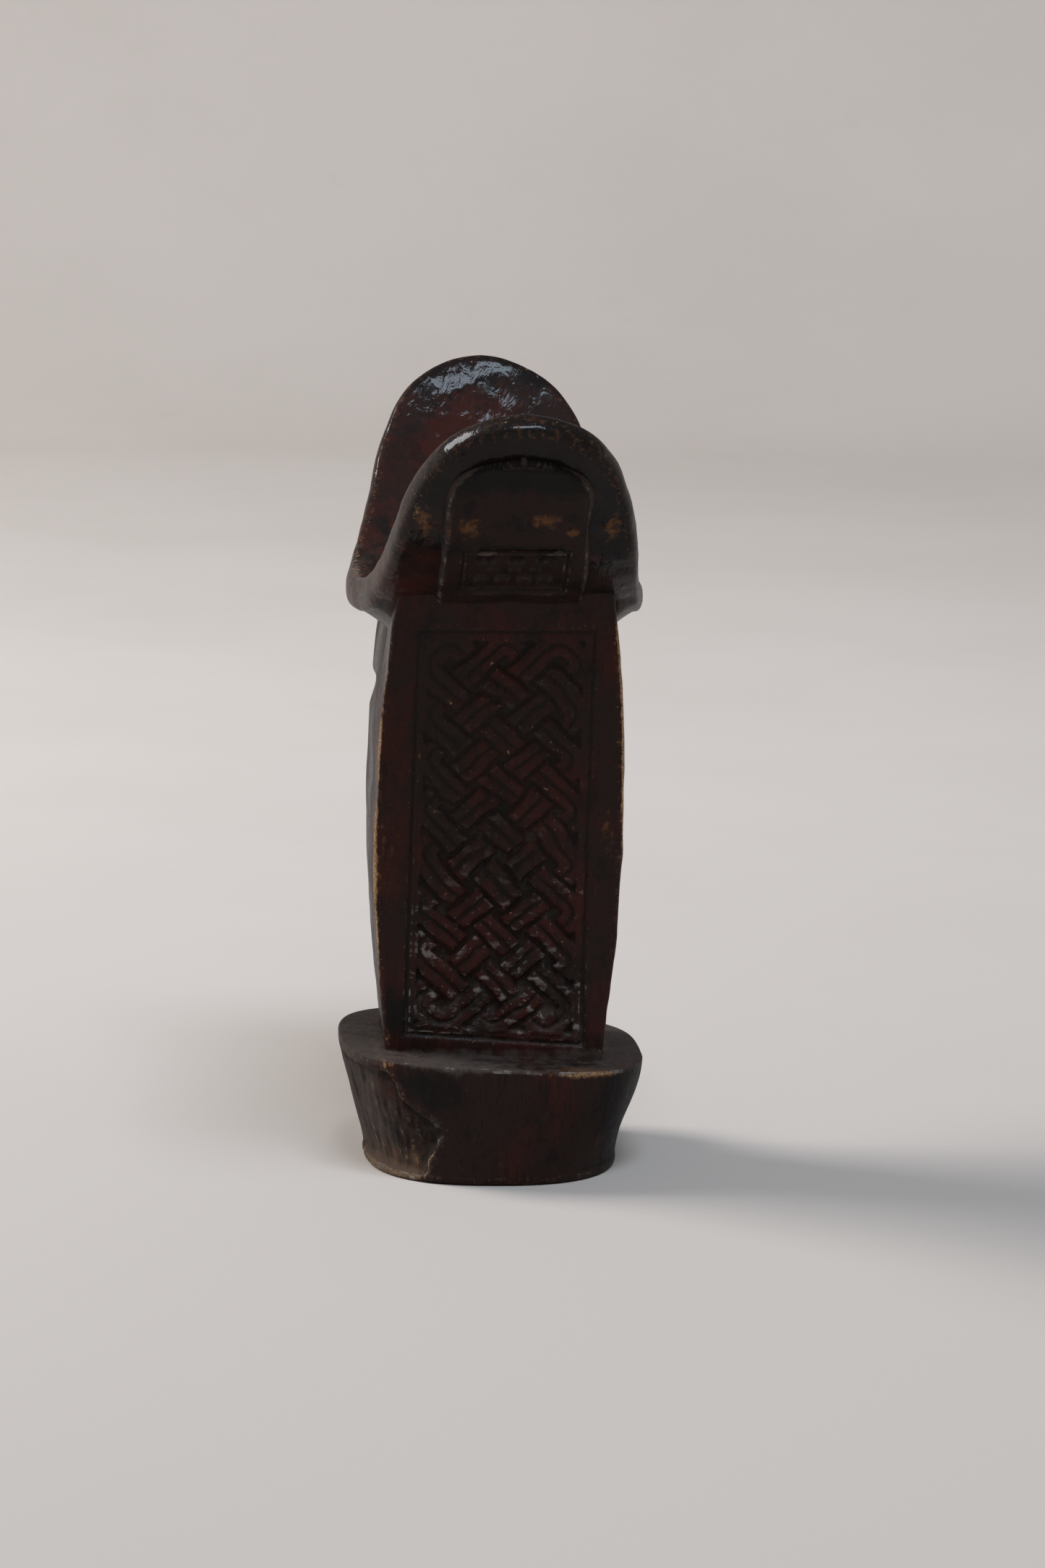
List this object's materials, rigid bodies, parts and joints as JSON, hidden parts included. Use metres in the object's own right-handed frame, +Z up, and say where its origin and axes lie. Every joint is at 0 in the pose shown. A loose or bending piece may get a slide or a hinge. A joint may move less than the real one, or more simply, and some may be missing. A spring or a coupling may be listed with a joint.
{
  "type": "headrest",
  "caption": "Carved wooden headrest with a crescent neck rest on one broad flaring column and a round foot.",
  "frame": {"origin": "centre of the foot's flat underside, on the surface it stands on", "axes": "+Z up, Y along the long way of the neck rest with the front lobe at -Y, X across it"},
  "size_m": [0.068, 0.1536, 0.175],
  "materials": {
    "foot_wood": "dusty, scuffed dark wood with worn edges",
    "column_wood": "dark red-brown patinated wood, carved in relief",
    "neck_rest_wood": "dark wood polished by long use",
    "tongue_wood": "dark red-brown patinated wood"
  },
  "bodies": {
    "root": {"foot": "foot_wood", "column": "column_wood", "neck_rest": "neck_rest_wood", "front_tongue": "tongue_wood", "back_tongue": "tongue_wood"}
  },
  "joints": []
}
